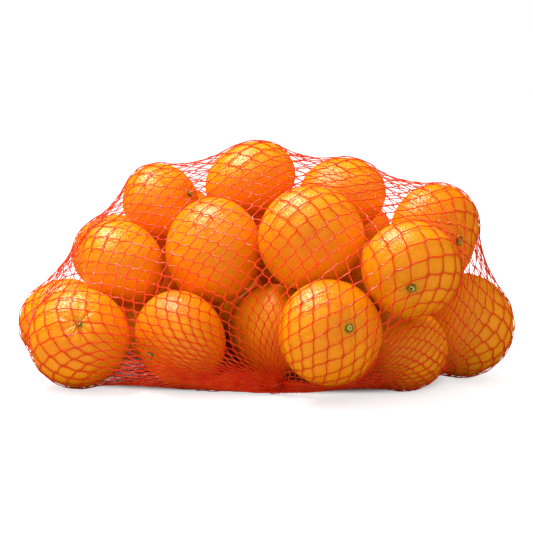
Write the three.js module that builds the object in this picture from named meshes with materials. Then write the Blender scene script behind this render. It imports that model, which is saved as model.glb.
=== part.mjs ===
// A net of mandarins, lying as it does on a shop table: thirty fruits in a heap, pulled together by a taut net
// bag. The net can be seen through, but its strands are far too fine to be solids, so the whole bag is one
// closed solid: a skin over the fruits, domed on each of them, hollowed between neighbours as deep as the eye
// sees through the net, and flat where it lies on the table.
//
// Millimetres. +X runs along the bag, +Y away from the side that is seen first, +Z up. The origin is the
// middle of the bag's outline on the table.
import * as THREE from "three";
import { mergeVertices } from "three/addons/utils/BufferGeometryUtils.js";

// ---- Driving dimensions ---------------------------------------------------------------------------------

const NET_THICKNESS = 0.8; // between the peel and the net's outer face, and under the lowest fruits
const FLATNESS = 0.86; // a mandarin's height through the stem over its width, where it isn't measured

const SKIN_FINENESS = 22; // the skin starts as an icosahedron with each edge cut into this many plus one
const SKIN_START = new THREE.Vector3(185, 145, 110); // half-lengths of the balloon that shrinks onto them
const SKIN_START_HEIGHT = 85; // height of the balloon's middle
const SKIN_STEPS = 400; // rounds of shrinking
const SKIN_PULL = 0.5; // share of the way that a point moves towards the middle of its neighbours
const SKIN_SINK = 0.4; // how far each round sinks a free point into the hollows between the fruits
const HOLLOW_STEPS = 100; // further rounds, in which the skin follows the fruits down between them
const HOLLOW_SINK = 0.8; // how far each of those sinks a free point
const HOLLOW_DEPTH = 10; // how far below the drawn skin they may take it

const SETTLE_STEPS = 600; // rounds in which touching fruits push each other apart
const SHOWN_HOLD = 0.25; // a fruit with a measured place gives way by this share of what a hidden one does

const NET_COLOUR = 0xe85a1c; // red-orange strands over orange peel, as the eye mixes them
const NET_ROUGHNESS = 0.45;

// ---- The fruits -----------------------------------------------------------------------------------------

// One mandarin: its middle, its width, the direction of its stem and its height over its width.
function mandarin(x, y, z, width, stem, flatness = FLATNESS) {
  return {
    middle: new THREE.Vector3(x, y, z),
    stem: new THREE.Vector3(...stem).normalize(),
    halfWidth: width / 2,
    halfHeight: (width / 2) * flatness,
  };
}

// Fruits whose place and width can be measured on the side that is seen, from the left.
const shown = [
  // on the table
  mandarin(-122, 30, 27, 56, [-0.3, 0.8, 0.5]),
  mandarin(-107, -31, 29, 59, [0.06, -0.87, 0.5]),
  mandarin(-49, -31, 29, 58, [-0.7, -0.65, -0.3], 0.85),
  mandarin(4, -9, 31, 57, [0.8, 0.58, 0.02], 0.84),
  mandarin(37, -59, 40, 61, [0.4, -0.88, 0.27], 0.85), // rides up on the gathered end of the net
  mandarin(82, -19, 25, 53, [0, 0.56, -0.82]),
  mandarin(116, 17, 30, 63, [0.1, 0.98, -0.14], 0.88),
  // second layer
  mandarin(-97, 69, 66, 51, [-0.6, 0.5, 0.6]),
  mandarin(-86, 9, 67, 55, [-0.72, 0.1, -0.69], 0.88),
  mandarin(-31, 1, 77, 64, [0.76, 0.64, -0.09], 0.84),
  mandarin(26, -24, 88, 62, [-0.04, 0.98, -0.19], 0.88),
  mandarin(81, -48, 74, 57, [-0.05, -0.95, -0.3], 0.88),
  // top layer
  mandarin(-65, 49, 98, 51, [0.85, -0.38, 0.36], 0.9),
  mandarin(-11, 37, 115, 57, [0.42, -0.03, -0.9], 0.8),
  mandarin(44, 26, 108, 53, [0.1, 0.17, -0.98], 0.83),
  mandarin(98, 7, 90, 56, [0.58, -0.79, -0.18]),
];

// Fruits that fill the inside and the far side of the heap, each in a hollow between those under it.
const hidden = [
  // inside, on the table
  mandarin(-57, 29, 28, 57, [0, 0, 1]),
  mandarin(-4, 48, 29, 58, [1, 0, 0]),
  mandarin(52, 36, 28, 56, [0, 1, 0]),
  // far side, on the table
  mandarin(-80, 99, 28, 56, [-0.5, 0.7, 0.5]),
  mandarin(-20, 103, 29, 58, [0.5, 0.7, 0.5]),
  mandarin(37, 100, 28, 57, [0, 0.9, 0.4]),
  mandarin(91, 82, 29, 58, [0.5, 0.8, -0.3]),
  // far side, second layer
  mandarin(-61, 101, 80, 56, [-0.2, 0.8, 0.6]),
  mandarin(-7, 82, 78, 57, [0, 0.6, 0.8]),
  mandarin(49, 74, 76, 57, [0.3, 0.9, 0]),
  mandarin(103, 61, 76, 55, [0.8, 0.5, 0.3]),
  // inside, second layer
  mandarin(-45, 60, 60, 49, [-0.4, 0.3, 0.9]),
  mandarin(17, 26, 70, 50, [0.2, 0.9, 0.4]),
  mandarin(60, 10, 62, 47, [0.5, 0.2, 0.8]),
];

// How far a fruit reaches from its middle towards a direction: a mandarin is a ball pressed flat at its stem.
function reach(fruit, direction) {
  const alongStem = fruit.stem.dot(direction) ** 2;
  return Math.sqrt(fruit.halfWidth ** 2 * (1 - alongStem) + fruit.halfHeight ** 2 * alongStem);
}

// Pushes fruits that overlap apart, and lifts those that would sink into the table.
function settle(fruits) {
  const up = new THREE.Vector3(0, 0, 1);
  const give = fruits.map((fruit) => (shown.includes(fruit) ? SHOWN_HOLD : 1));
  for (let step = 0; step < SETTLE_STEPS; step++) {
    fruits.forEach((fruit, i) =>
      fruits.slice(i + 1).forEach((other, k) => {
        const between = other.middle.clone().sub(fruit.middle);
        const distance = between.length();
        between.divideScalar(distance);
        const overlap = reach(fruit, between) + reach(other, between) - distance;
        if (overlap <= 0) return;
        const otherGive = give[i + 1 + k];
        const share = overlap / (give[i] + otherGive);
        fruit.middle.addScaledVector(between, -share * give[i]);
        other.middle.addScaledVector(between, share * otherGive);
      }),
    );
    for (const fruit of fruits) {
      fruit.middle.z = Math.max(fruit.middle.z, reach(fruit, up) + NET_THICKNESS);
    }
  }
}

// Moves the heap so that the middle of its outline on the table is the origin.
function centre(fruits) {
  for (const axis of ["x", "y"]) {
    const along = new THREE.Vector3();
    along[axis] = 1;
    const low = Math.min(...fruits.map((fruit) => fruit.middle[axis] - reach(fruit, along)));
    const high = Math.max(...fruits.map((fruit) => fruit.middle[axis] + reach(fruit, along)));
    for (const fruit of fruits) fruit.middle[axis] -= (low + high) / 2;
  }
}

// ---- The skin that the net spans ------------------------------------------------------------------------

// The neighbours of each point of a closed triangle mesh.
function neighboursOf(geometry) {
  const neighbours = Array.from({ length: geometry.attributes.position.count }, () => new Set());
  const corners = geometry.index.array;
  for (let t = 0; t < corners.length; t += 3) {
    for (let side = 0; side < 3; side++) {
      const a = corners[t + side];
      const b = corners[t + ((side + 1) % 3)];
      neighbours[a].add(b);
      neighbours[b].add(a);
    }
  }
  return neighbours.map((set) => [...set]);
}

// The middle of a point's neighbours. The far ones count for more, which keeps the mesh even as it shrinks.
const neighbour = new THREE.Vector3();
function middleOf(around, point, position) {
  const middle = new THREE.Vector3();
  let total = 0;
  for (const k of around) {
    neighbour.fromBufferAttribute(position, k);
    const weight = neighbour.distanceTo(point);
    middle.addScaledVector(neighbour, weight);
    total += weight;
  }
  return middle.divideScalar(total);
}

// Puts a point that is inside a fruit or under the table back onto the net's outer face.
const fromMiddle = new THREE.Vector3();
function keepOutside(point, fruits) {
  for (const fruit of fruits) {
    fromMiddle.subVectors(point, fruit.middle);
    const alongStem = fromMiddle.dot(fruit.stem);
    const acrossSquared = fromMiddle.lengthSq() - alongStem ** 2;
    const depth = Math.sqrt(
      acrossSquared / (fruit.halfWidth + NET_THICKNESS) ** 2 +
        alongStem ** 2 / (fruit.halfHeight + NET_THICKNESS) ** 2,
    );
    if (depth < 1) point.copy(fruit.middle).addScaledVector(fromMiddle, 1 / depth);
  }
  point.z = Math.max(point.z, 0);
}

// A balloon round the heap, drawn tight: each point is pulled to the middle of its neighbours and a little
// inwards, and stopped by the fruits. Then the skin sinks further into the hollows, along the ways out of the
// drawn skin, but no point goes deeper than HOLLOW_DEPTH. The part of the balloon that starts under the
// table's level stays flat on the table.
function skin(fruits) {
  const balloon = new THREE.IcosahedronGeometry(1, SKIN_FINENESS);
  balloon.deleteAttribute("normal");
  balloon.deleteAttribute("uv");
  const geometry = mergeVertices(balloon, 1e-4);
  geometry.scale(...SKIN_START).translate(0, 0, SKIN_START_HEIGHT);
  const position = geometry.attributes.position;
  const neighbours = neighboursOf(geometry);
  const points = neighbours.map((_, i) => new THREE.Vector3().fromBufferAttribute(position, i));
  const onTable = points.map((point) => point.z <= 0);
  const outwards = new THREE.Vector3();
  const moved = new THREE.Vector3();

  // Where the skin is already drawn, each point stays near its place and sinks along the way out there.
  const shrink = (steps, sink, drawn = null) => {
    for (let step = 0; step < steps; step++) {
      if (!drawn) geometry.computeVertexNormals();
      points.forEach((point, i) => {
        point.lerp(middleOf(neighbours[i], point, position), SKIN_PULL);
        outwards.fromBufferAttribute(geometry.attributes.normal, i);
        if (!onTable[i]) point.addScaledVector(outwards, -sink);
        if (drawn) {
          moved.subVectors(point, drawn[i]).clampLength(0, HOLLOW_DEPTH);
          point.addVectors(drawn[i], moved);
        }
        keepOutside(point, fruits);
        if (onTable[i]) point.z = 0;
      });
      points.forEach((point, i) => position.setXYZ(i, point.x, point.y, point.z));
    }
  };
  shrink(SKIN_STEPS, SKIN_SINK);
  shrink(HOLLOW_STEPS, HOLLOW_SINK, points.map((point) => point.clone()));
  return geometry;
}

// ---- The object -----------------------------------------------------------------------------------------

const fruits = [...shown, ...hidden];
settle(fruits);
centre(fruits);

const netOfMandarins = new THREE.Mesh(
  skin(fruits),
  new THREE.MeshStandardMaterial({ color: NET_COLOUR, roughness: NET_ROUGHNESS, metalness: 0 }),
);
netOfMandarins.name = "net_of_mandarins";

const object = new THREE.Group();
object.add(netOfMandarins);

export default object;
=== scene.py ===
# %% [markdown]
# # A net of mandarins
#
# Thirty mandarins lie in a low heap, drawn together by a taut red-orange net. The measured model is one
# plain solid: a skin over the fruits, hollowed between them. This lesson takes that solid away and puts
# in its place what the shopper sees: every fruit with its pored peel and its stem end, and every strand
# of the net.
#
# The model comes first. It is the fixed frame: all pieces are made in its coordinates, in metres, with +X
# along the bag, +Y away from the camera and +Z up from the table.

# %% The frame
import math

import bpy
import numpy as np
from mathutils import Matrix


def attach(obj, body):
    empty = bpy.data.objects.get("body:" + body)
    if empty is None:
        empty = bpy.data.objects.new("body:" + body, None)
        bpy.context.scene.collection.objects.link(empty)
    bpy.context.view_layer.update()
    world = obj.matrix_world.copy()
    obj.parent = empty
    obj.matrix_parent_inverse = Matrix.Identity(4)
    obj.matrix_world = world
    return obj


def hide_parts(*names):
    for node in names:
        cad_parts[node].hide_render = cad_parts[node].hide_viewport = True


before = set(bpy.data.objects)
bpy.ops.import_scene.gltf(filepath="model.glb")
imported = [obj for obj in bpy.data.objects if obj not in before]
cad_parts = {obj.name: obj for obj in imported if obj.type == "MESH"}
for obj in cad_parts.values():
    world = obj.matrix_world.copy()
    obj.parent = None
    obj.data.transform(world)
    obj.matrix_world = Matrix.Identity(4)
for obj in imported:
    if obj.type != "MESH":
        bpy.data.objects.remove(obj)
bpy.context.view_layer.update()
MM = 0.001
BODY = "root"
SKIN = "net_of_mandarins"
scene = bpy.context.scene

# %% [markdown]
# ## The heap
#
# The places of the fruits are the same as in the solid model, given in whole millimetres: first the
# sixteen that can be seen, then the fourteen that fill the inside and the far side. A mandarin is close
# to a ball pressed flat at its stem, so a middle, a width, a stem direction and a flatness are enough to
# place it.
#
# The given places never touch exactly. The same few lines as in the solid model push overlapping fruits
# apart, and then move the heap so that its outline is centred on the origin.

# %% The fruits
NET_THICKNESS = 0.8  # mm of net under the lowest fruits
FLATNESS = 0.86  # height over width, where it isn't measured


def mandarin(x, y, z, width, stem, flatness=FLATNESS):
    """One fruit, in mm: its middle, its width, the way its stem points and its height over its width."""
    stem = np.array(stem, float)
    return {
        "middle": np.array([x, y, z], float),
        "stem": stem / np.linalg.norm(stem),
        "half_width": width / 2,
        "half_height": width / 2 * flatness,
    }


shown = [
    # on the table
    mandarin(-122, 30, 27, 56, (-0.3, 0.8, 0.5)),
    mandarin(-107, -31, 29, 59, (0.06, -0.87, 0.5)),
    mandarin(-49, -31, 29, 58, (-0.7, -0.65, -0.3), 0.85),
    mandarin(4, -9, 31, 57, (0.8, 0.58, 0.02), 0.84),
    mandarin(37, -59, 40, 61, (0.4, -0.88, 0.27), 0.85),  # rides up on the gathered end of the net
    mandarin(82, -19, 25, 53, (0, 0.56, -0.82)),
    mandarin(116, 17, 30, 63, (0.1, 0.98, -0.14), 0.88),
    # second layer
    mandarin(-97, 69, 66, 51, (-0.6, 0.5, 0.6)),
    mandarin(-86, 9, 67, 55, (-0.72, 0.1, -0.69), 0.88),
    mandarin(-31, 1, 77, 64, (0.76, 0.64, -0.09), 0.84),
    mandarin(26, -24, 88, 62, (-0.04, 0.98, -0.19), 0.88),
    mandarin(81, -48, 74, 57, (-0.05, -0.95, -0.3), 0.88),
    # top layer
    mandarin(-65, 49, 98, 51, (0.85, -0.38, 0.36), 0.9),
    mandarin(-11, 37, 115, 57, (0.42, -0.03, -0.9), 0.8),
    mandarin(44, 26, 108, 53, (0.1, 0.17, -0.98), 0.83),
    mandarin(98, 7, 90, 56, (0.58, -0.79, -0.18)),
]
hidden = [
    # inside, on the table
    mandarin(-57, 29, 28, 57, (0, 0, 1)),
    mandarin(-4, 48, 29, 58, (1, 0, 0)),
    mandarin(52, 36, 28, 56, (0, 1, 0)),
    # far side, on the table
    mandarin(-80, 99, 28, 56, (-0.5, 0.7, 0.5)),
    mandarin(-20, 103, 29, 58, (0.5, 0.7, 0.5)),
    mandarin(37, 100, 28, 57, (0, 0.9, 0.4)),
    mandarin(91, 82, 29, 58, (0.5, 0.8, -0.3)),
    # far side, second layer
    mandarin(-61, 101, 80, 56, (-0.2, 0.8, 0.6)),
    mandarin(-7, 82, 78, 57, (0, 0.6, 0.8)),
    mandarin(49, 74, 76, 57, (0.3, 0.9, 0)),
    mandarin(103, 61, 76, 55, (0.8, 0.5, 0.3)),
    # inside, second layer
    mandarin(-45, 60, 60, 49, (-0.4, 0.3, 0.9)),
    mandarin(17, 26, 70, 50, (0.2, 0.9, 0.4)),
    mandarin(60, 10, 62, 47, (0.5, 0.2, 0.8)),
]
fruits = shown + hidden
print(len(shown), "fruits are seen and", len(hidden), "are behind and inside")

# %% Settle and centre the heap
SETTLE_STEPS = 600
SHOWN_HOLD = 0.25  # a fruit with a measured place gives way by this share of what a hidden one does


def reach(fruit, direction):
    """How far the fruit reaches from its middle towards a direction."""
    along_stem = float(fruit["stem"] @ direction) ** 2
    squared = fruit["half_width"] ** 2 * (1 - along_stem) + fruit["half_height"] ** 2 * along_stem
    return math.sqrt(squared)


def push_apart(fruit, other, give, other_give):
    """Moves two fruits that overlap apart, each by its share."""
    between = other["middle"] - fruit["middle"]
    distance = math.sqrt(between @ between)
    if distance > fruit["half_width"] + other["half_width"]:
        return
    between /= distance
    overlap = reach(fruit, between) + reach(other, between) - distance
    if overlap > 0:
        share = overlap / (give + other_give)
        fruit["middle"] -= share * give * between
        other["middle"] += share * other_give * between


def settle(fruits):
    """Pushes fruits that overlap apart, and lifts those that would sink into the table."""
    up = np.array([0.0, 0.0, 1.0])
    give = [SHOWN_HOLD] * len(shown) + [1.0] * len(hidden)
    for _ in range(SETTLE_STEPS):
        for i, fruit in enumerate(fruits):
            for k in range(i + 1, len(fruits)):
                push_apart(fruit, fruits[k], give[i], give[k])
        for fruit in fruits:
            fruit["middle"][2] = max(fruit["middle"][2], reach(fruit, up) + NET_THICKNESS)


def centre(fruits):
    """Moves the heap so that the middle of its outline is the origin, and returns the move."""
    move = np.zeros(3)
    for axis in (0, 1):
        along = np.eye(3)[axis]
        low = min(fruit["middle"][axis] - reach(fruit, along) for fruit in fruits)
        high = max(fruit["middle"][axis] + reach(fruit, along) for fruit in fruits)
        move[axis] = -(low + high) / 2
    for fruit in fruits:
        fruit["middle"] += move
    return move


settle(fruits)
heap_move = centre(fruits)
print("heap moved by", np.round(heap_move, 2), "mm to its centre")

# %% [markdown]
# ## The camera
#
# The camera stands where the photographer's did: low, eight degrees above the table, a little tilted to
# the side, and far enough away that the fruits at the back look hardly smaller. It aims at a point near
# the middle of the heap, which moves with the heap when that is centred.

# %% Camera
ELEVATION = math.radians(8.0)
ROLL = math.radians(1.0)
DISTANCE = 1100.0  # mm, from the lens to the aim point
AIM = np.array([0.0, 0.0, 68.2])  # mm, in the places given above
PIXEL_AT_AIM = 0.59  # mm that one pixel of the photograph covers at the aim point
PHOTO_WIDTH = 533  # pixels
SENSOR = 36.0  # mm

level_up = np.array([0.0, math.sin(ELEVATION), math.cos(ELEVATION)])
level_right = np.array([1.0, 0.0, 0.0])
view_way = np.array([0.0, math.cos(ELEVATION), -math.sin(ELEVATION)])
camera_right = math.cos(ROLL) * level_right + math.sin(ROLL) * level_up
camera_up = math.cos(ROLL) * level_up - math.sin(ROLL) * level_right

camera_data = bpy.data.cameras.new("camera")
camera_data.sensor_width = SENSOR
camera_data.lens = SENSOR * DISTANCE / (PIXEL_AT_AIM * PHOTO_WIDTH)
camera_data.clip_start = 0.05
camera = bpy.data.objects.new("camera", camera_data)
scene.collection.objects.link(camera)
place = np.eye(4)
place[:3, 0] = camera_right
place[:3, 1] = camera_up
place[:3, 2] = -view_way
place[:3, 3] = (AIM + heap_move - DISTANCE * view_way) * MM
camera.matrix_world = Matrix(place.tolist())
scene.camera = camera
print("lens:", round(camera_data.lens, 1), "mm")

# %% [markdown]
# ## Helpers for materials
#
# A material is a small program of nodes. A few helpers keep it readable. `add_node` adds a node and sets
# or links its inputs, and `new_group` starts a node group, which is an effect with named inputs and
# outputs that several materials can share.

# %% Node helpers


def add_node(tree, kind, inputs=None, **settings):
    """Adds a node; inputs are values or sockets to link from, by input name or number."""
    node = tree.nodes.new(kind)
    for name, value in settings.items():
        setattr(node, name, value)
    for name, value in (inputs or {}).items():
        if isinstance(value, bpy.types.NodeSocket):
            tree.links.new(value, node.inputs[name])
        else:
            node.inputs[name].default_value = value
    return node


def maths(tree, operation, *values, clamp=False):
    """One Math node. Returns its output."""
    inputs = dict(enumerate(values))
    return add_node(tree, "ShaderNodeMath", inputs, operation=operation, use_clamp=clamp).outputs[0]


def vector_maths(tree, operation, *values):
    """One Vector Math node. Returns its output, which is a number for a length and otherwise a vector."""
    node = add_node(tree, "ShaderNodeVectorMath", dict(enumerate(values)), operation=operation)
    return node.outputs["Value" if operation == "LENGTH" else "Vector"]


def blend_colour(tree, factor, a, b):
    """Mixes two colours. Returns the result."""
    inputs = {0: factor, 6: a, 7: b}  # a Mix node has such sockets for numbers, vectors and colours
    return add_node(tree, "ShaderNodeMix", inputs, data_type="RGBA").outputs[2]


def new_group(name, inputs, outputs):
    """A node group with named sockets: (name, kind, default) for inputs and (name, kind) for outputs."""
    tree = bpy.data.node_groups.new(name, "ShaderNodeTree")
    for label, kind, default in inputs:
        socket = tree.interface.new_socket(label, in_out="INPUT", socket_type="NodeSocket" + kind)
        if default is not None:
            socket.default_value = default
    for label, kind in outputs:
        tree.interface.new_socket(label, in_out="OUTPUT", socket_type="NodeSocket" + kind)
    entry = tree.nodes.new("NodeGroupInput")
    leave = tree.nodes.new("NodeGroupOutput")
    return tree, entry.outputs, leave.inputs


def place_group(tree, group, inputs):
    """Places a group in a material with its own values. Returns its outputs."""
    return add_node(tree, "ShaderNodeGroup", inputs, node_tree=group).outputs


def new_material(name):
    """A material with only a Principled shader on its output."""
    material = bpy.data.materials.new(name)
    material.use_nodes = True
    tree = material.node_tree
    tree.nodes.clear()
    shader = tree.nodes.new("ShaderNodeBsdfPrincipled")
    output = tree.nodes.new("ShaderNodeOutputMaterial")
    tree.links.new(shader.outputs[0], output.inputs[0])
    return material, tree, shader


def srgb(red, green, blue):
    """A colour as picture programs give it, 0 to 255, turned into the linear light that shaders use."""
    shares = [value / 255 for value in (red, green, blue)]
    linear = [x / 12.92 if x <= 0.04045 else ((x + 0.055) / 1.055) ** 2.4 for x in shares]
    return (*linear, 1.0)


# %% [markdown]
# ## Shared effects
#
# Two effects are built as groups, apart from any material. *Mottle* is the slow wandering of a colour over
# a natural or worn surface, made from two sizes of noise; the peel, the stem ends and the net all use it,
# each with its own values. *Pores* is the skin of a citrus fruit: small round pits, some crowded and some
# sparse. Voronoi cells give each pit its own centre, and a noise bends them so that no row shows.

# %% Mottle group
FINER = 6.0  # the fine noise is this many times as fine as the coarse one

takes = [("Vector", "Vector", None), ("Scale", "Float", 60.0)]
takes += [("Sharpness", "Float", 1.0), ("Seed", "Float", 0.0)]
mottle, given, result = new_group("mottle", takes, [("Mask", "Float"), ("Fine", "Float")])
at = {"Vector": given["Vector"], "W": given["Seed"]}
coarse_look = {**at, "Scale": given["Scale"], "Detail": 3.0}
coarse = add_node(mottle, "ShaderNodeTexNoise", coarse_look, noise_dimensions="4D")
fine_look = {**at, "Scale": maths(mottle, "MULTIPLY", given["Scale"], FINER), "Detail": 2.0}
fine = add_node(mottle, "ShaderNodeTexNoise", fine_look, noise_dimensions="4D")
centred = maths(mottle, "SUBTRACT", coarse.outputs["Fac"], 0.5)
steep = maths(mottle, "MULTIPLY_ADD", centred, given["Sharpness"], 0.5, clamp=True)
mottle.links.new(steep, result["Mask"])
mottle.links.new(fine.outputs["Fac"], result["Fine"])
print("group:", mottle.name)

# %% Pores group
PORE_STRAY = 0.0007  # m, about the most that a pore is moved from its place
PIT_BOTTOM, PIT_EDGE = 0.05, 0.42  # distances from a cell's middle, in cells
WAVE_DENSITY = 1.15  # slow waves of the skin for each pore

takes = [("Vector", "Vector", None), ("Spacing", "Float", 0.0011)]
takes += [("Depth", "Float", 1.0), ("Waves", "Float", 1.0)]
pores, given, result = new_group("pores", takes, [("Height", "Float"), ("Pit", "Float")])
wander = add_node(pores, "ShaderNodeTexNoise", {"Vector": given["Vector"], "Scale": 260.0, "Detail": 2.0})
shift = vector_maths(pores, "MULTIPLY", wander.outputs["Color"], (PORE_STRAY, PORE_STRAY, PORE_STRAY))
bent = vector_maths(pores, "ADD", given["Vector"], shift)
density = maths(pores, "DIVIDE", 1.0, given["Spacing"])
cells = add_node(pores, "ShaderNodeTexVoronoi", {"Vector": bent, "Scale": density, "Randomness": 0.9})
slope = {"Value": cells.outputs["Distance"], "From Min": PIT_BOTTOM, "From Max": PIT_EDGE}
slope |= {"To Min": 1.0, "To Max": 0.0}
pit = add_node(pores, "ShaderNodeMapRange", slope, interpolation_type="SMOOTHSTEP")
wave_density = maths(pores, "MULTIPLY", density, WAVE_DENSITY)
dimples = add_node(
    pores, "ShaderNodeTexNoise", {"Vector": given["Vector"], "Scale": wave_density, "Detail": 1.0}
)
pit_depth = maths(pores, "MULTIPLY", pit.outputs["Result"], given["Depth"])
waves = maths(pores, "MULTIPLY", dimples.outputs["Fac"], given["Waves"])
height = maths(pores, "SUBTRACT", waves, pit_depth)
pores.links.new(height, result["Height"])
pores.links.new(pit.outputs["Result"], result["Pit"])
print("group:", pores.name)

# %% [markdown]
# ## Peel
#
# Mandarin peel is waxed: a deep orange under a thin gloss, broken into speckles by the pores, so a
# highlight looks like a patch of bright grains. Each fruit is a little redder or yellower than the next,
# partly its own colour and partly painted shade: the fruits low on the right, which lie in shade, are made
# the yellowest. The mesh carries that as an attribute named `tint`. Round the stem the peel stays paler
# and greener.

# %% Peel finish
PEEL_DEEP = srgb(248, 124, 0)
PEEL_BRIGHT = srgb(255, 158, 0)
PEEL_YELLOW = srgb(240, 164, 0)
PEEL_STEM_END = srgb(206, 150, 20)
PORE_COLOUR = srgb(230, 108, 0)
PEEL_ROUGHNESS = 0.25
ROUGHNESS_SPREAD = 0.22
PEEL_MIRROR_TINT = (1.0, 0.94, 0.86, 1.0)  # the wax warms what it mirrors
PORE_SPACING = 0.0012  # m
PORE_RELIEF = 0.00015  # m
PORE_SHADE = 0.25  # how far the bottom of a pore takes on its own colour
STEM_END_SHADE = 0.75  # the same for the peel round the stem


def make_peel():
    """Waxed peel, mottled, with pores, and paler round the stem."""
    material, tree, shader = new_material("peel")
    where = add_node(tree, "ShaderNodeTexCoord").outputs["Object"]
    tint = add_node(tree, "ShaderNodeAttribute", attribute_name="tint").outputs["Fac"]
    stem_near = add_node(tree, "ShaderNodeAttribute", attribute_name="stem_near").outputs["Fac"]
    patches = place_group(tree, mottle, {"Vector": where, "Scale": 45.0, "Sharpness": 1.8, "Seed": tint})
    skin = {"Vector": where, "Spacing": PORE_SPACING, "Depth": 1.0, "Waves": 3.0}
    skin_pores = place_group(tree, pores, skin)
    orange = blend_colour(tree, patches["Mask"], PEEL_DEEP, PEEL_BRIGHT)
    # the tint is each fruit's own colour, with painted shade added on the fruits low on the right
    tinted = blend_colour(tree, tint, orange, PEEL_YELLOW)
    in_pore = maths(tree, "MULTIPLY", skin_pores["Pit"], PORE_SHADE)
    speckled = blend_colour(tree, in_pore, tinted, PORE_COLOUR)
    near = maths(tree, "MULTIPLY", stem_near, STEM_END_SHADE)
    coloured = blend_colour(tree, near, speckled, PEEL_STEM_END)
    tree.links.new(coloured, shader.inputs["Base Color"])
    smoothest = PEEL_ROUGHNESS - ROUGHNESS_SPREAD / 2
    rough = maths(tree, "MULTIPLY_ADD", patches["Fine"], ROUGHNESS_SPREAD, smoothest)
    tree.links.new(rough, shader.inputs["Roughness"])
    relief = {"Height": skin_pores["Height"], "Distance": PORE_RELIEF}
    bump = add_node(tree, "ShaderNodeBump", relief)
    tree.links.new(bump.outputs[0], shader.inputs["Normal"])
    shader.inputs["Specular IOR Level"].default_value = 0.5
    shader.inputs["Specular Tint"].default_value = PEEL_MIRROR_TINT
    return material


peel = make_peel()
print("finish:", peel.name)

# %% [markdown]
# ## The mandarins
#
# A fruit is a grid of rings round its stem axis, like a globe, because everything on it is arranged round
# that axis: the dimple at the stem with furrows running out of it, and the small navel at the other end.
# The grid starts as the pressed ball of the heap, and every change only takes material away, so that the
# fruits still just touch and the net still clears them.

# %% Mandarin mesh
RINGS, SECTORS = 60, 96
STEM_DIMPLE = 1.9  # mm deep
STEM_DIMPLE_WIDTH = 0.26  # radians from the stem
STEM_TINGE_WIDTH = 0.17  # radians from the stem over which the peel turns paler
FURROWS = (7, 11)  # least on a fruit, and one more than the most
FURROW = 0.55  # mm deep
FURROW_PLACE, FURROW_WIDTH = 0.27, 0.2  # radians from the stem
FURROW_STRAY = 0.8  # radians that the furrows stray from an even spacing
NAVEL = 0.9  # mm deep
NAVEL_WIDTH = 0.13  # radians from the far end
LUMP = 0.7  # mm, most that the slow unevenness takes away
LUMPS = 5  # slow waves on each fruit
LUMP_STRENGTHS = (0.3, 1.0)  # between which each wave's own lies
LUMP_WAVE = 3.1  # radians that a wave of middling length turns by over half a fruit
LUMP_SHIFT = 9  # sets waves of different strength off against each other
RING_CROWDING = 0.35  # radians that the rings are moved towards both ends
ANY_TURN = 6.28  # radians, once round
chance = np.random.default_rng(27)


def fruit_surface(fruit, across, round_stem, lumps, furrows):
    """Points on the peel, in mm from its middle with +Z to the stem, for angles from and round the stem."""
    towards = np.stack(
        [np.sin(across) * np.cos(round_stem), np.sin(across) * np.sin(round_stem), np.cos(across)], -1
    )
    points = towards * [fruit["half_width"], fruit["half_width"], fruit["half_height"]]
    taken = np.zeros(across.shape)
    for direction, strength in lumps:
        wave = np.sin(LUMP_WAVE * (towards @ direction) + strength * LUMP_SHIFT)
        taken += strength * (0.5 + 0.5 * wave)
    taken *= LUMP / sum(strength for _, strength in lumps)
    taken += STEM_DIMPLE * np.exp(-((across / STEM_DIMPLE_WIDTH) ** 2))
    count, turn = furrows
    stray = FURROW_STRAY * np.sin(round_stem * 2 + turn)
    groove = (0.5 + 0.5 * np.cos(count * round_stem + turn + stray)) ** 3
    taken += FURROW * groove * np.exp(-(((across - FURROW_PLACE) / FURROW_WIDTH) ** 2))
    taken += NAVEL * np.exp(-(((math.pi - across) / NAVEL_WIDTH) ** 2))
    return points - towards * taken[..., None]


def grid_faces(rings, sectors):
    """Quads of a grid of rings, each ring closed on itself."""
    ring, sector = np.meshgrid(np.arange(rings - 1), np.arange(sectors), indexing="ij")
    after = (sector + 1) % sectors
    a, b = ring * sectors + sector, ring * sectors + after
    return np.stack([a, a + sectors, b + sectors, b], -1).reshape(-1, 4)


def new_piece(name, points_mm, faces, material):
    """A smooth mesh object from points in mm and lists of faces."""
    mesh = bpy.data.meshes.new(name)
    mesh.from_pydata((np.asarray(points_mm) * MM).tolist(), [], [list(map(int, face)) for face in faces])
    mesh.polygons.foreach_set("use_smooth", np.ones(len(mesh.polygons), bool))
    mesh.materials.append(material)
    mesh.update()
    piece = bpy.data.objects.new(name, mesh)
    scene.collection.objects.link(piece)
    return piece


def triangles(piece):
    return sum(len(face.vertices) - 2 for face in piece.data.polygons)


def add_value(piece, name, values):
    """Gives the piece one number at each point, for its finish to read."""
    layer = piece.data.attributes.new(name, "FLOAT", "POINT")
    layer.data.foreach_set("value", np.asarray(values, np.float32))


def place_on(fruit, points):
    """Points in mm from the fruit's middle with +Z to the stem, put where the fruit lies in the heap."""
    stem = fruit["stem"]
    aside = np.cross(stem, [0.0, 0.0, 1.0] if abs(stem[2]) < 0.9 else [1.0, 0.0, 0.0])
    aside /= np.linalg.norm(aside)
    axes = np.stack([aside, np.cross(stem, aside), stem])
    return points @ axes + fruit["middle"]


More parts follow.
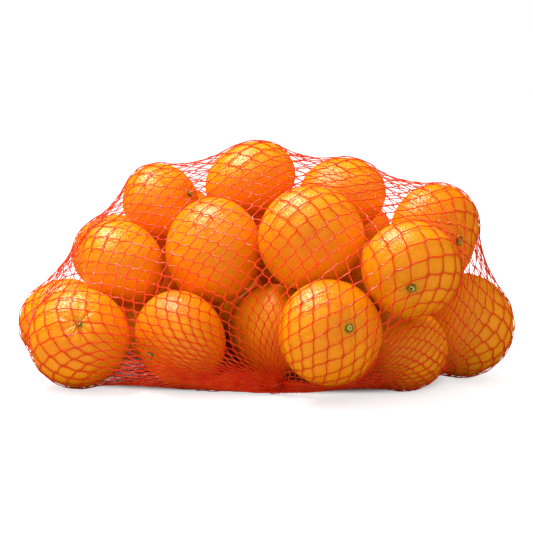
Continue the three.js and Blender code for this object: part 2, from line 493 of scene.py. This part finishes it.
def make_mandarin(number, fruit, tint):
    """The peel of one fruit: rings from near the stem to near the navel, and a fan of faces at each end."""
    lumps = [(chance.normal(size=3), chance.uniform(*LUMP_STRENGTHS)) for _ in range(LUMPS)]
    furrows = (int(chance.integers(*FURROWS)), chance.uniform(0, ANY_TURN))
    across = np.linspace(0, math.pi, RINGS + 2)[1:-1]
    across = across - RING_CROWDING * np.sin(2 * across) / 2
    turn = np.arange(SECTORS) * 2 * math.pi / SECTORS
    across_grid, turn_grid = np.meshgrid(across, turn, indexing="ij")
    points = fruit_surface(fruit, across_grid, turn_grid, lumps, furrows).reshape(-1, 3)
    ends = fruit_surface(fruit, np.array([0.0, math.pi]), np.array([0.0, 0.0]), lumps, furrows)
    points = np.concatenate([points, ends])
    stem_point, navel_point = RINGS * SECTORS, RINGS * SECTORS + 1
    faces = grid_faces(RINGS, SECTORS).tolist()
    last = (RINGS - 1) * SECTORS
    for k in range(SECTORS):
        after = (k + 1) % SECTORS
        faces.append([stem_point, k, after])
        faces.append([navel_point, last + after, last + k])
    piece = new_piece(f"mandarin_{number:02d}", place_on(fruit, points), faces, peel)
    add_value(piece, "tint", np.full(len(points), tint))
    nearness = np.exp(-((across_grid.ravel() / STEM_TINGE_WIDTH) ** 2))
    add_value(piece, "stem_near", np.concatenate([nearness, [1.0, 0.0]]))
    return piece


# from 0, the deepest orange, to 1, the yellowest: judged for the fruits that show
# fruits 6, 7 and 12, low on the right, get the most yellow as painted shade; the rest is each fruit's own
# colour
yellowness = [0.15, 0.15, 0.05, 0.3, 0.2, 0.4, 0.4, 0.1, 0.3, 0.2, 0.2, 0.35, 0.05, 0.3, 0.15, 0.1]
yellowness += [0.2] * len(hidden)
mandarins = [make_mandarin(n, fruit, tint) for n, (fruit, tint) in enumerate(zip(fruits, yellowness), 1)]
for piece in mandarins:
    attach(piece, BODY)
print(len(mandarins), "mandarins of", triangles(mandarins[0]), "triangles")

# %% [markdown]
# ## The stem ends
#
# Where the stalk was cut, a small dry button stays in the dimple: the remains of the five leaflets that
# held the flower, grown together into a rim, and inside it the pale ring of the stalk with a dark pith.
# It is modelled as a disc turned from a profile, whose rim is pushed out a little at each leaflet. Its
# colours follow from the distance from the axis, which the mesh carries as an attribute named
# `from_axis`.

# %% Stem-end finish
BUTTON_WIDTH = 4.8  # mm
BUTTON_COLOURS = [
    (0.0, srgb(66, 34, 20)),
    (0.2, srgb(84, 50, 20)),
    (0.34, srgb(214, 210, 84)),
    (0.52, srgb(222, 216, 92)),
    (0.68, srgb(136, 140, 36)),
    (0.86, srgb(76, 88, 20)),
    (1.0, srgb(150, 132, 26)),
]
BUTTON_DRY = srgb(120, 96, 34)
BUTTON_DRYNESS = 0.25  # how far the driest spots take on the dry colour
BUTTON_WOBBLE = 0.3  # share of the radius that the rings of colour wander by
BUTTON_GRAIN = 0.0003  # m


def make_stem_finish():
    """A dry button, coloured in uneven rings."""
    material, tree, shader = new_material("stem_end")
    where = add_node(tree, "ShaderNodeTexCoord").outputs["Object"]
    distance = add_node(tree, "ShaderNodeAttribute", attribute_name="from_axis").outputs["Fac"]
    spots = place_group(tree, mottle, {"Vector": where, "Scale": 900.0, "Sharpness": 2.0, "Seed": 4.0})
    wobble = maths(tree, "MULTIPLY_ADD", spots["Mask"], BUTTON_WOBBLE, -BUTTON_WOBBLE / 2)
    ramp = add_node(tree, "ShaderNodeValToRGB", {"Fac": maths(tree, "ADD", distance, wobble)})
    first, last = ramp.color_ramp.elements
    first.position, first.color = BUTTON_COLOURS[0]
    last.position, last.color = BUTTON_COLOURS[-1]
    for position, colour in BUTTON_COLOURS[1:-1]:
        ramp.color_ramp.elements.new(position).color = colour
    dryness = maths(tree, "MULTIPLY", spots["Fine"], BUTTON_DRYNESS)
    dry = blend_colour(tree, dryness, ramp.outputs[0], BUTTON_DRY)
    tree.links.new(dry, shader.inputs["Base Color"])
    bump = add_node(tree, "ShaderNodeBump", {"Height": spots["Fine"], "Distance": BUTTON_GRAIN})
    tree.links.new(bump.outputs[0], shader.inputs["Normal"])
    shader.inputs["Roughness"].default_value = 0.65
    return material


stem_finish = make_stem_finish()
print("finish:", stem_finish.name)

# %% Stem-end meshes
BUTTON_SECTORS = 40
# distance from the axis over the button's radius, and height in mm over the dimple's face there
BUTTON_PROFILE = [(0.06, 0.7), (0.16, 0.75), (0.26, 1.35), (0.42, 1.5), (0.55, 1.3), (0.64, 0.95)]
BUTTON_PROFILE += [(0.78, 1.0), (0.92, 0.85), (1.0, 0.45)]
BUTTON_SINK = 0.1  # mm that the whole button is sunk into the peel
RIM_DEPTH = 1.0  # mm from the rim's edge down to its foot
PITH_HEIGHT = 0.7  # mm on the axis, over the bottom of the dimple
FOOT_DEPTH = 0.6  # mm under the bottom of the dimple
SMALLER = {1: 0.8, 2: 0.72, 3: 0.85, 13: 0.8}  # buttons smaller than the others, by the fruit's number
SIZES = (0.95, 1.1)  # shares of the button's width between which each one's own lies
LEAFLETS = 5
LEAFLET_REACH, RIM_UNEVEN = 0.12, 0.06  # shares of the radius


def make_stem_end(number, fruit):
    """The button, lying in the dimple."""
    turn = np.arange(BUTTON_SECTORS) * 2 * math.pi / BUTTON_SECTORS
    lobe = LEAFLET_REACH * np.cos(LEAFLETS * turn + number) + RIM_UNEVEN * np.cos(2 * turn + number)
    size = BUTTON_WIDTH / 2 * SMALLER.get(number, 1) * chance.uniform(*SIZES)
    bottom = fruit["half_height"] - STEM_DIMPLE - BUTTON_SINK
    rings, distances = [], []
    for share, rise in BUTTON_PROFILE:
        radius = size * share * (1 + lobe * np.clip((share - 0.5) * 2, 0, 1))
        dish = STEM_DIMPLE * (1 - np.exp(-((radius / fruit["half_width"] / STEM_DIMPLE_WIDTH) ** 2)))
        rings.append(np.stack([radius * np.cos(turn), radius * np.sin(turn), bottom + dish + rise], -1))
        distances.append(np.full(BUTTON_SECTORS, share))
    rim = rings[-1].copy()
    rim[:, 2] -= RIM_DEPTH
    axis_points = [[0, 0, bottom + PITH_HEIGHT], [0, 0, bottom - FOOT_DEPTH]]
    points = np.concatenate([*rings, rim, axis_points])
    faces = grid_faces(len(rings) + 1, BUTTON_SECTORS).tolist()
    top, under = len(points) - 2, len(points) - 1
    last = len(rings) * BUTTON_SECTORS
    for k in range(BUTTON_SECTORS):
        after = (k + 1) % BUTTON_SECTORS
        faces.append([top, k, after])
        faces.append([under, last + after, last + k])
    piece = new_piece(f"stem_end_{number:02d}", place_on(fruit, points), faces, stem_finish)
    add_value(piece, "from_axis", np.concatenate([*distances, np.ones(BUTTON_SECTORS), [0.0, 1.0]]))
    return piece


stem_ends = [make_stem_end(n, fruit) for n, fruit in enumerate(fruits, 1)]
for piece in stem_ends:
    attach(piece, BODY)
print(len(stem_ends), "stem ends, about", BUTTON_WIDTH, "mm wide")

# %% [markdown]
# ## The net: pulling it tight
#
# The net is a knitted tube of diamonds. It is gathered at both ends: the near end is tied under the front
# of the heap, the far end under the back. Its shape can't be drawn by hand, so it is found as the real
# one finds it. Its knots, the places where two strands meet, start on a wide balloon round the heap.
# Then, many times over, every strand pulls its two knots together, more when it is stretched past its
# length, and every knot that has got into a fruit or the table is put back on the surface. What is left
# is a net in tension, hugging the fruits and spanning the gaps.
#
# Row 0 is the near gather and the last row the far one. Knots of odd rows sit between those of even rows.

# %% The net's plan
AROUND = 60  # diamonds round the tube
ROWS = 68  # rows of knots from one gather to the other
PHASE = 0.2  # share of a diamond that the net is turned round the heap, to bare the stem ends
STRAND_LENGTH = 8.2  # mm from knot to knot
STRAND_RADIUS = 0.38  # mm
STRAND_CLEARANCE = 0.5  # mm from the peel to the middle of a knot
NEAR_GATHER = np.array([8.0, -40.0, 4.0]) + heap_move
FAR_GATHER = np.array([9.0, 108.0, 4.5]) + heap_move
BALLOON = (185.0, 110.0, 170.0)  # mm that the start shape stands out sideways, to front and back, and up
BULGE, RISE = 0.6, 1.5  # how roundly it widens from the gathers, and how roundly it rises

middles = np.array([fruit["middle"] for fruit in fruits])
stems = np.array([fruit["stem"] for fruit in fruits])
half_widths = np.array([fruit["half_width"] for fruit in fruits])
half_heights = np.array([fruit["half_height"] for fruit in fruits])


def balloon():
    """The knots on their start shape: rows of AROUND points each."""
    knots = np.zeros((ROWS + 1, AROUND, 3))
    for row in range(ROWS + 1):
        share = row / ROWS
        turn = 2 * math.pi * (np.arange(AROUND) + 0.5 * (row % 2) + PHASE) / AROUND
        up, side = np.cos(turn), np.sin(turn)
        line = NEAR_GATHER + (FAR_GATHER - NEAR_GATHER) * share
        out = math.sin(math.pi * share) ** BULGE
        rise = math.sin(math.pi * share) ** RISE
        beyond = -math.sin(2 * math.pi * share) * BALLOON[1]
        knots[row, :, 0] = line[0] * (1 - out) + side * BALLOON[0] * out
        knots[row, :, 1] = line[1] + beyond * np.where(up > 0, 1, np.abs(side))
        knots[row, :, 2] = np.where(up > 0, line[2] + up * BALLOON[2] * rise, STRAND_RADIUS)
    return knots.reshape(-1, 3)


def strand_links():
    """The knots that each strand joins, as two lists: every knot has two strands to the next row."""
    number = np.arange((ROWS + 1) * AROUND).reshape(ROWS + 1, AROUND)
    from_knot, to_knot = [], []
    for row in range(ROWS):
        step = 1 if row % 2 == 0 else -1
        from_knot += [number[row], number[row]]
        to_knot += [number[row + 1], np.roll(number[row + 1], step)]
    return np.concatenate(from_knot), np.concatenate(to_knot)


def keep_outside(points, clearance):
    """Puts points that are in a fruit or in the table back on the surface."""
    from_middle = points[:, None, :] - middles
    along = np.einsum("nfk,fk->nf", from_middle, stems)
    across = np.einsum("nfk,nfk->nf", from_middle, from_middle) - along**2
    depth = np.sqrt(across / (half_widths + clearance) ** 2 + along**2 / (half_heights + clearance) ** 2)
    fruit = depth.argmin(1)
    index = np.arange(len(points))
    deepest = np.maximum(depth[index, fruit], 1e-6)
    on_surface = middles[fruit] + from_middle[index, fruit] / deepest[:, None]
    points = np.where(deepest[:, None] < 1, on_surface, points)
    points[:, 2] = np.maximum(points[:, 2], STRAND_RADIUS)
    return points


print(AROUND, "diamonds round,", ROWS // 2, "diamonds long,", AROUND * ROWS * 2, "strand lengths")

# %% Tighten the net
TIGHTEN_STEPS = 1400
ELASTIC_PULL = 0.15  # share of its length that a strand shortens by in each step
OVERSTRETCH_PULL = 0.9  # share of its excess length that a stretched strand gives back
EASE = 0.8  # share of each pull that is carried out in one step, which keeps the net from shaking
THROAT = 3.5  # mm, radius of the gathered bundle
GOLDEN = 0.618  # the golden ratio, which spreads points evenly over a disc
UNEVEN = 0.18  # largest share that a strand is longer or shorter than the next
# Parts of the net near the front gather that are drawn together into a band: the middle and half the
# width as shares of the way round, the rows that it reaches, and how hard it is drawn. The first shows as
# the red band along the table to the left, the second lies under the heap.
BANDS = [(0.76, 0.1, 25, 0.04), (0.39, 0.14, 34, 0.12)]
BAND_START, BAND_FADE = 3, 8  # rows over which a band sets in and dies away


def throat_places(gather):
    """Places for one row of knots in the gathered bundle, spread over a small upright disc."""
    turn = 2 * math.pi * np.arange(AROUND) / AROUND
    radius = THROAT * np.sqrt((np.arange(AROUND) * GOLDEN) % 1.0)
    return gather + np.stack([radius * np.sin(turn), np.zeros(AROUND), radius * np.cos(turn)], -1)


def band_links():
    """Pairs of neighbouring knots that the drawn bands pull together, and how hard."""
    number = np.arange((ROWS + 1) * AROUND).reshape(ROWS + 1, AROUND)
    row, column = np.meshgrid(np.arange(ROWS + 1), np.arange(AROUND) + 0.5, indexing="ij")
    pull = np.zeros(row.shape)
    for middle, width, rows, strength in BANDS:
        across = (column / AROUND - middle) / width
        set_in, left = np.clip(row / BAND_START, 0, 1), np.clip((rows - row) / BAND_FADE, 0, 1)
        pull += strength * np.exp(-(across**4)) * left * set_in
    held = pull > 0.001
    return number[held], np.roll(number, -1, 1)[held], pull[held]


def tighten(knots, steps):
    """Pulls the net tight over the fruits."""
    from_knot, to_knot = strand_links()
    count = len(knots)

    def total(numbers, values=None):
        """The sum of the values at each knot, or how many there are."""
        return np.bincount(numbers, values, count)

    strands_at = total(from_knot) + total(to_knot)
    near, far = throat_places(NEAR_GATHER), throat_places(FAR_GATHER)
    band_from, band_to, band_pull = band_links()
    knitted = STRAND_LENGTH * chance.uniform(1 - UNEVEN, 1 + UNEVEN, len(from_knot))
    for _ in range(steps):
        strand = knots[to_knot] - knots[from_knot]
        length = np.maximum(np.linalg.norm(strand, axis=1), 1e-9)
        excess = np.maximum(length - knitted, 0) / length
        share = OVERSTRETCH_PULL * excess + ELASTIC_PULL * np.minimum(length / knitted, 1)
        pull = strand * (EASE * share)[:, None]
        draw = (knots[band_to] - knots[band_from]) * band_pull[:, None]
        for axis in range(3):
            moved = total(from_knot, pull[:, axis]) - total(to_knot, pull[:, axis])
            moved += total(band_from, draw[:, axis]) - total(band_to, draw[:, axis])
            knots[:, axis] += moved / strands_at
        knots[:AROUND] = near
        knots[-AROUND:] = far
        knots = keep_outside(knots, STRAND_CLEARANCE)
    return knots


knots = tighten(balloon(), TIGHTEN_STEPS)
from_knot, to_knot = strand_links()
lengths = np.linalg.norm(knots[to_knot] - knots[from_knot], axis=1)
print("strand lengths, mm: middle", round(float(np.median(lengths)), 2))
print("longest", round(float(lengths.max()), 2))

# %% [markdown]
# ## The net: strands
#
# A knitted net has no tied knots. Each strand zigzags along the tube, and where it meets its neighbour
# the two run side by side for about two millimetres before they part. That short double stretch is why
# the holes look like rounded hexagons. So each strand is drawn as its own tube. It goes straight through
# the joint, a little to its own side, then bows across to the next one, and wherever it would cut into a
# fruit it is lifted out.

# %% Strand paths
JOINT = 2.0  # mm that two strands run together
JOINT_SHARE = 0.12  # of the way past a joint, on each side, where the net is drawn too tight for that
JOINT_OFFSET = 0.28  # mm from the joint's middle to each strand
BETWEEN = 2  # extra points on a strand from joint to joint
BEND = 0.7  # how far a strand keeps a joint's direction as it leaves it
CRINKLE = 0.15  # mm


def unit(vectors):
    return vectors / np.maximum(np.linalg.norm(vectors, axis=-1, keepdims=True), 1e-9)


def net_directions(grid):
    """At each knot: along the tube, round the tube, and out of the net."""
    along = np.zeros_like(grid)
    for row in range(ROWS + 1):
        before, after = max(row - 1, 0), min(row + 1, ROWS)
        step = 1 if row % 2 == 0 else -1
        upper = grid[after] + np.roll(grid[after], step, 0) if after != row else 2 * grid[row]
        lower = grid[before] + np.roll(grid[before], step, 0) if before != row else 2 * grid[row]
        along[row] = upper - lower
    round_tube = np.roll(grid, -1, 1) - np.roll(grid, 1, 1)
    along = unit(along)
    out = unit(np.cross(round_tube, along))
    return along, unit(np.cross(along, out)), out


def strand_path(grid, directions, column, side):
    """One zigzag strand: its points and the way out of the net at each."""
    along, aside, out = directions
    points, outs = [], []
    for row in range(ROWS + 1):
        if row % 2 == 0:
            knot, own_side = column % AROUND, side
        else:
            knot, own_side = (column if side > 0 else column - 1) % AROUND, -side
        here = grid[row, knot]
        gap = np.linalg.norm(grid[min(row + 1, ROWS), knot] - grid[max(row - 1, 0), knot])
        half = along[row, knot] * min(JOINT / 2, JOINT_SHARE * gap)
        offset = aside[row, knot] * own_side * JOINT_OFFSET
        points += [here + offset - half, here + offset + half]
        outs += [out[row, knot]] * 2
    return np.array(points), np.array(outs)


def add_between(points, outs):
    """Adds points between joints, eased so that the strand leaves each joint in line with it."""
    full, full_outs = [points[0]], [outs[0]]
    for k in range(1, len(points)):
        if k % 2 == 0:  # from the end of a joint to the start of the next
            start, end = points[k - 1], points[k]
            leave, arrive = start - points[k - 2], points[min(k + 1, len(points) - 1)] - end
            for n in range(1, BETWEEN + 1):
                t = n / (BETWEEN + 1)
                lean = leave * t * (1 - t) ** 2 * BEND - arrive * t**2 * (1 - t) * BEND
                full.append(start + (end - start) * t + lean + chance.normal(size=3) * CRINKLE)
                full_outs.append(outs[k - 1] * (1 - t) + outs[k] * t)
        full.append(points[k])
        full_outs.append(outs[k])
    return np.array(full), unit(np.array(full_outs))


grid = knots.reshape(ROWS + 1, AROUND, 3)
directions = net_directions(grid)
paths = {+1: [], -1: []}  # strands that start to the right and to the left
for side, strands in paths.items():
    for column in range(AROUND):
        strands.append(add_between(*strand_path(grid, directions, column, side)))
print(2 * AROUND, "strands of", len(paths[1][0][0]), "points")

# %% Strand tubes
SIDES = 5  # of a strand's outline
FLATTEN = 0.78  # a strand is a little thinner than it is wide
THICK_UNEVEN = 0.18  # most that a strand is thicker or thinner than its radius
SLIM, SLIM_SHARE = 0.35, 0.16  # how much thinner strands get towards the gathers, and how far from them


def tubes(strands):
    """Points and faces of open tubes, from lists of (points, ways out)."""
    points, faces = [], []
    turn = np.arange(SIDES) * 2 * math.pi / SIDES
    start = 0
    for line, outs in strands:
        forward = unit(np.gradient(line, axis=0))
        share = np.linspace(0, 1, len(line))
        slim = 1 - SLIM * np.exp(-((np.minimum(share, 1 - share) / SLIM_SHARE) ** 2))
        across = unit(np.cross(forward, outs))
        upward = np.cross(across, forward)
        uneven = chance.uniform(1 - THICK_UNEVEN, 1 + THICK_UNEVEN, len(line))
        thick = (STRAND_RADIUS * slim * uneven)[:, None, None]
        width = (across[:, None, :] * np.cos(turn)[None, :, None]) * thick
        height = (upward[:, None, :] * np.sin(turn)[None, :, None]) * thick * FLATTEN
        rings = (line[:, None, :] + width + height).reshape(-1, 3)
        points.append(rings)
        faces.append(grid_faces(len(line), SIDES) + start)
        start += len(rings)
    return np.concatenate(points), faces


def make_strands(name, strands, material):
    """A piece of many strands, each closed at its ends."""
    points, faces = tubes(strands)
    all_faces = np.concatenate(faces).tolist()
    first = 0
    for line, _ in strands:
        last = first + (len(line) - 1) * SIDES
        all_faces.append([first + k for k in range(SIDES)])
        all_faces.append([last + k for k in reversed(range(SIDES))])
        first = last + SIDES
    return new_piece(name, points, all_faces, material)


# %% [markdown]
# ## The net: finish
#
# The strands are a glossy red-orange plastic, a little lighter in places. Most of a strand looks matt at
# this size, and only here and there does it catch the light in a pale glint. So the base is nearly matt,
# and a clear coat lies over it in spots.

# %% Net finish
NET_RED = srgb(230, 24, 2)
NET_LIGHT = srgb(244, 78, 6)
GLINT_FALL = 1.3  # how fast a glint fades from its middle
FIBRE_GRAIN = 0.0003  # m


def make_net_finish():
    """Red-orange plastic with spots of gloss."""
    material, tree, shader = new_material("net")
    where = add_node(tree, "ShaderNodeTexCoord").outputs["Object"]
    shade = place_group(tree, mottle, {"Vector": where, "Scale": 160.0, "Sharpness": 2.0, "Seed": 2.0})
    colour = blend_colour(tree, shade["Mask"], NET_RED, NET_LIGHT)
    tree.links.new(colour, shader.inputs["Base Color"])
    fibres = add_node(tree, "ShaderNodeTexNoise", {"Vector": where, "Scale": 1400.0, "Detail": 1.0})
    bump = add_node(tree, "ShaderNodeBump", {"Height": fibres.outputs["Fac"], "Distance": FIBRE_GRAIN})
    tree.links.new(bump.outputs[0], shader.inputs["Normal"])
    shine = place_group(tree, mottle, {"Vector": where, "Scale": 260.0, "Sharpness": 8.0, "Seed": 5.0})
    glints = maths(tree, "POWER", shine["Mask"], GLINT_FALL)
    tree.links.new(glints, shader.inputs["Coat Weight"])
    shader.inputs["Coat Roughness"].default_value = 0.18
    shader.inputs["Roughness"].default_value = 0.5
    shader.inputs["Specular IOR Level"].default_value = 0.12
    return material


net_finish = make_net_finish()
print("finish:", net_finish.name)

# %% Net meshes
LINE_CLEARANCE = 0.4  # mm from the peel to the middle of a strand between two knots
net_pieces = []
for side, name in ((+1, "net_right_strands"), (-1, "net_left_strands")):
    lifted = [(keep_outside(line, LINE_CLEARANCE), outs) for line, outs in paths[side]]
    net_pieces.append(make_strands(name, lifted, net_finish))
for piece in net_pieces:
    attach(piece, BODY)
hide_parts(SKIN)
print("net triangles:", [triangles(piece) for piece in net_pieces])

# %% [markdown]
# ## The gathered ends
#
# Beyond each gather the tube of net goes on as a loose rope. The near one is folded to the left under the
# bag and shows as a dense red band along the table; the far one lies short behind the heap. Each is a
# bundle of strands that wave a little and keep their own places in the rope, pressed flat by the table
# and lifted by the fruits.

# %% Gathered ends
NEAR_TAIL = [(12, -41, 4), (4, -40, 4), (-8, -38, 4), (-20, -35, 3.5), (-32, -32, 2.5), (-42, -34, 1.5)]
FAR_TAIL = [(6, 108, 4), (20, 110, 4), (36, 113, 3.5), (50, 111, 3)]
TAIL_STRANDS = 44
TAIL_STEPS = 42  # points on each strand
TAIL_STARTS, TAIL_ENDS = (0, 0.15), (0.7, 1)  # shares of the tail between which its strands start and end
TAIL_WIDTH, TAIL_HEIGHT = 3.2, 2.6  # mm that the strands lie from the tail's middle line
TAIL_WAVE = 1.0  # mm
TAIL_TURNS = (12, 30)  # radians that a strand's wave turns by along the tail


def tail_line(guide, share):
    """A smooth line through the guide points, at shares of its length from 0 to 1."""
    at = share * (len(guide) - 1)
    first = np.clip(at.astype(int), 0, len(guide) - 2)
    t = (at - first)[:, None]
    before, after = guide[np.maximum(first - 1, 0)], guide[np.minimum(first + 2, len(guide) - 1)]
    start, end = guide[first], guide[first + 1]
    leave, arrive = (end - before) / 2, (after - start) / 2
    even = start * (1 - t) ** 2 * (1 + 2 * t) + end * t**2 * (3 - 2 * t)
    return even + leave * t * (1 - t) ** 2 - arrive * t**2 * (1 - t)


def tail_strands(guide):
    """The strands of one gathered end: (points, ways out)."""
    strands = []
    for _ in range(TAIL_STRANDS):
        first, last = chance.uniform(*TAIL_STARTS), chance.uniform(*TAIL_ENDS)
        share = np.linspace(first, last, TAIL_STEPS)
        middle = tail_line(np.array(guide) + heap_move, share)
        aside, rise = chance.normal() * TAIL_WIDTH, chance.uniform(-1, 1) * TAIL_HEIGHT
        turn = chance.uniform(0, ANY_TURN, 2) + share[:, None] * chance.uniform(*TAIL_TURNS, 2)
        wave = np.sin(turn) * TAIL_WAVE
        # along the table the rope spreads out and flattens
        middle[:, 1] += aside * (0.5 + share) + wave[:, 0]
        middle[:, 2] += rise * (1.2 - 0.6 * share) + wave[:, 1] * 0.6
        middle = keep_outside(middle, STRAND_CLEARANCE)
        strands.append((middle, np.tile([0.0, 0.0, 1.0], (TAIL_STEPS, 1))))
    return strands


gathered = []
for name, guide in (("net_near_end", NEAR_TAIL), ("net_far_end", FAR_TAIL)):
    gathered.append(make_strands(name, tail_strands(guide), net_finish))
for piece in gathered:
    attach(piece, BODY)
print(len(gathered), "gathered ends of", TAIL_STRANDS, "strands")

# %% [markdown]
# ## The studio
#
# The photograph is lit from above and a little from the left by one soft light, with white all round. A
# square area light gives each fruit its soft highlight, a bright world fills the shadows, and a pale
# floor runs past the edge of the picture.
# The floor's glow for the camera is painted light, and the patch under the heap where it is left out is
# painted shade.

# %% Floor, lights and world
FLOOR_SIZE = 6.0  # m
FLOOR_COLOUR = (0.55, 0.55, 0.55, 1)
# painted light: how brightly the floor glows for the camera
PAINTED_FLOOR_GLOW = 0.68
WHITE = (1, 1, 1, 1)
# painted shade: a rounded patch under the heap where the floor doesn't glow, so that it shows darker
PAINTED_SHADE_MIDDLE = np.array([-8.0, 42.0, 0.0]) + heap_move  # mm, middle of the rounded patch that doesn't glow
PAINTED_SHADE_SIZE = (0.12, 0.082, 1.0)  # m, its half-lengths
PAINTED_SHADE_EDGE = 0.64  # the glow starts at this value of the patch's formula, which is 1 at its edge
KEY_PLACE, KEY_AIM = (-0.42, 0.12, 1.0), (0, 0, 0.05)  # m
KEY_POWER = 15.5  # W
KEY_SIZE = 0.38  # m
FILL = 0.95  # brightness of the white surroundings


def make_floor():
    """A white floor. Outside the heap it glows a little for the camera, a painted light, and so is white to
    the horizon. Under the heap the glow is left out, which paints shade there.
    """
    material, tree, shader = new_material("floor")
    shader.inputs["Base Color"].default_value = FLOOR_COLOUR
    shader.inputs["Roughness"].default_value = 0.8
    shader.inputs["Specular IOR Level"].default_value = 0.0
    shader.inputs["Emission Color"].default_value = WHITE
    camera_only = add_node(tree, "ShaderNodeLightPath").outputs["Is Camera Ray"]
    where = add_node(tree, "ShaderNodeTexCoord").outputs["Object"]
    from_middle = vector_maths(tree, "SUBTRACT", where, tuple(PAINTED_SHADE_MIDDLE * MM))
    shares = vector_maths(tree, "DIVIDE", from_middle, PAINTED_SHADE_SIZE)
    rounded = vector_maths(tree, "LENGTH", vector_maths(tree, "MULTIPLY", shares, shares))
    ramp = {"Value": rounded, "From Min": PAINTED_SHADE_EDGE, "From Max": 1.0}
    ramp |= {"To Min": 0.0, "To Max": PAINTED_FLOOR_GLOW}
    # painted light outside the patch under the heap, and painted shade inside it
    glow = add_node(tree, "ShaderNodeMapRange", ramp, interpolation_type="SMOOTHSTEP").outputs["Result"]
    tree.links.new(maths(tree, "MULTIPLY", camera_only, glow), shader.inputs["Emission Strength"])
    half = FLOOR_SIZE / 2 / MM
    corners = [(-half, -half, 0), (half, -half, 0), (half, half, 0), (-half, half, 0)]
    return new_piece("floor", corners, [[0, 1, 2, 3]], material)


def add_area_light(name, place, aim, size, power):
    """A square soft light at a place, turned to an aim point, all in metres and watts."""
    data = bpy.data.lights.new(name, "AREA")
    data.size = size
    data.energy = power
    light = bpy.data.objects.new(name, data)
    light.location = place
    towards = np.array(aim) - np.array(place)
    tilt = math.acos(-towards[2] / np.linalg.norm(towards))
    turn = math.atan2(towards[1], towards[0]) - math.pi / 2
    light.rotation_euler = (tilt, 0, turn)
    scene.collection.objects.link(light)


floor = make_floor()
floor.visible_glossy = False
add_area_light("key", KEY_PLACE, KEY_AIM, KEY_SIZE, KEY_POWER)
world = bpy.data.worlds.new("studio")
scene.world = world
world.use_nodes = True
sky = world.node_tree
rays = add_node(sky, "ShaderNodeLightPath")
seen = maths(sky, "MULTIPLY_ADD", rays.outputs["Is Camera Ray"], 1.0 - FILL, FILL)
sky.links.new(seen, sky.nodes["Background"].inputs["Strength"])
sky.nodes["Background"].inputs["Color"].default_value = WHITE
world.cycles_visibility.glossy = False  # the peel mirrors the key light alone
scene.view_settings.view_transform = "Standard"
